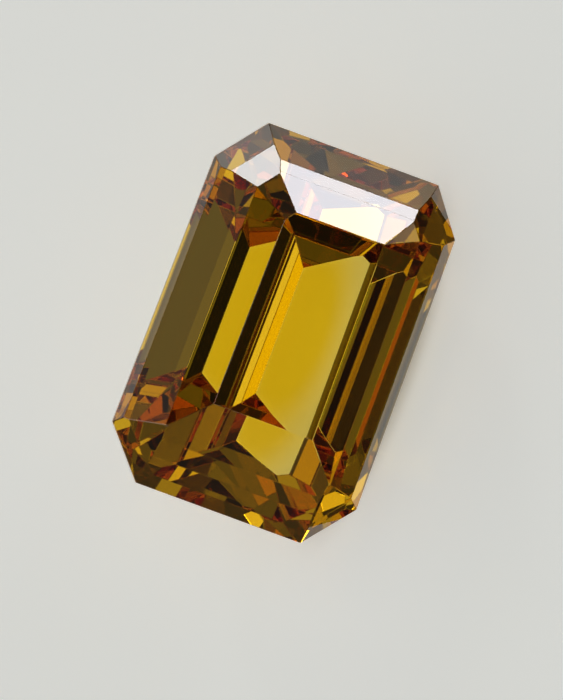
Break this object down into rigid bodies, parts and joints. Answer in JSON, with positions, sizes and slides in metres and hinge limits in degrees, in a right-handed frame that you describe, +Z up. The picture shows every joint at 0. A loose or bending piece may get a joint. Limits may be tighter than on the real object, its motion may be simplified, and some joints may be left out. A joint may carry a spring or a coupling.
{
  "type": "zircon gemstone",
  "caption": "Loose emerald-cut golden zircon: a faceted see-through gemstone with an octagonal step-cut outline, lying on a pavilion facet.",
  "frame": {"origin": "middle of the stone's outline box, at the level of the facet it lies on", "axes": "+Z is up with the stone at rest, +Y is along the stone's long axis, +X is the side that the table leans towards"},
  "size_m": [0.007, 0.011, 0.0058],
  "materials": {
    "zircon_crystal": "polished, transparent golden brown"
  },
  "bodies": {
    "root": {"zircon": "zircon_crystal"}
  },
  "joints": []
}
